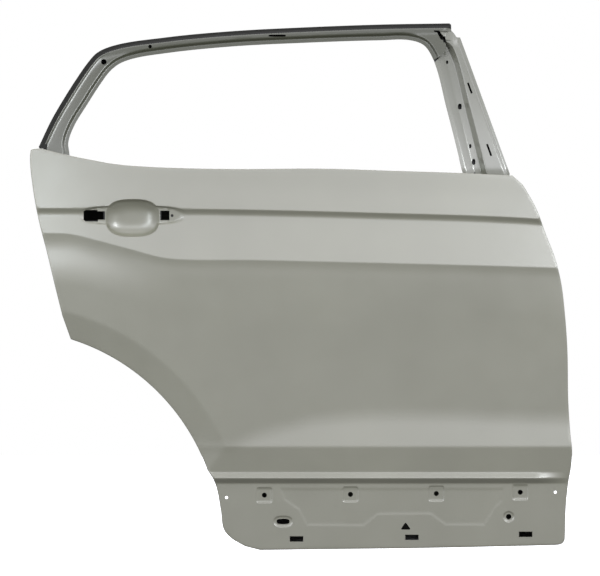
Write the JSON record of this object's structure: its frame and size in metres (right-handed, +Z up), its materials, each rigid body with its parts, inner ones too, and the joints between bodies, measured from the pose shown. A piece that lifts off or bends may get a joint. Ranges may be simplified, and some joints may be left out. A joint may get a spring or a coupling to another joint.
{
  "type": "car door shell",
  "caption": "Bare pressed-steel shell of a rear car door: creased outer skin with a handle bowl, hollow inner panel, belt rails and a full window frame, in grey-green primer.",
  "frame": {"origin": "centre of the upper hinge's mounting face on the door's front end", "axes": "+X towards the car's front, out of the hinge faces; +Y towards the car's middle, into the cabin; +Z up"},
  "size_m": [1.1263, 0.177, 1.0956],
  "materials": {
    "grey_green_primer": "satin primer, warm grey-green",
    "frame_primer": "satin primer, slightly glossier and darker",
    "bare_steel": "bare steel",
    "mastic": "soft black mastic"
  },
  "bodies": {
    "root": {"outer_skin": "grey_green_primer", "inner_panel": "grey_green_primer", "window_frame_inner": "frame_primer", "frame_header": "frame_primer", "frame_front_pillar": "frame_primer", "belt_reinforcement_outer": "grey_green_primer", "belt_reinforcement_inner": "grey_green_primer", "side_impact_beam": "grey_green_primer", "beam_bracket_front": "grey_green_primer", "beam_bracket_rear": "grey_green_primer", "hinge_reinforcement_upper": "grey_green_primer", "hinge_reinforcement_lower": "grey_green_primer", "hinge_tapping_plate_upper": "bare_steel", "hinge_tapping_plate_lower": "bare_steel", "check_strap_reinforcement": "grey_green_primer", "latch_reinforcement": "grey_green_primer", "handle_reinforcement": "grey_green_primer", "glass_run_channel_front": "grey_green_primer", "glass_run_channel_rear": "grey_green_primer", "glass_guide_bracket_front": "grey_green_primer", "glass_guide_bracket_rear": "grey_green_primer", "belt_gusset_front": "grey_green_primer", "belt_gusset_rear": "grey_green_primer", "mastic_pad_1": "mastic", "mastic_pad_2": "mastic", "mastic_pad_3": "mastic", "mastic_pad_4": "mastic", "regulator_weld_nut_1": "bare_steel", "regulator_weld_nut_2": "bare_steel", "regulator_weld_nut_3": "bare_steel", "regulator_weld_nut_4": "bare_steel"}
  },
  "joints": []
}
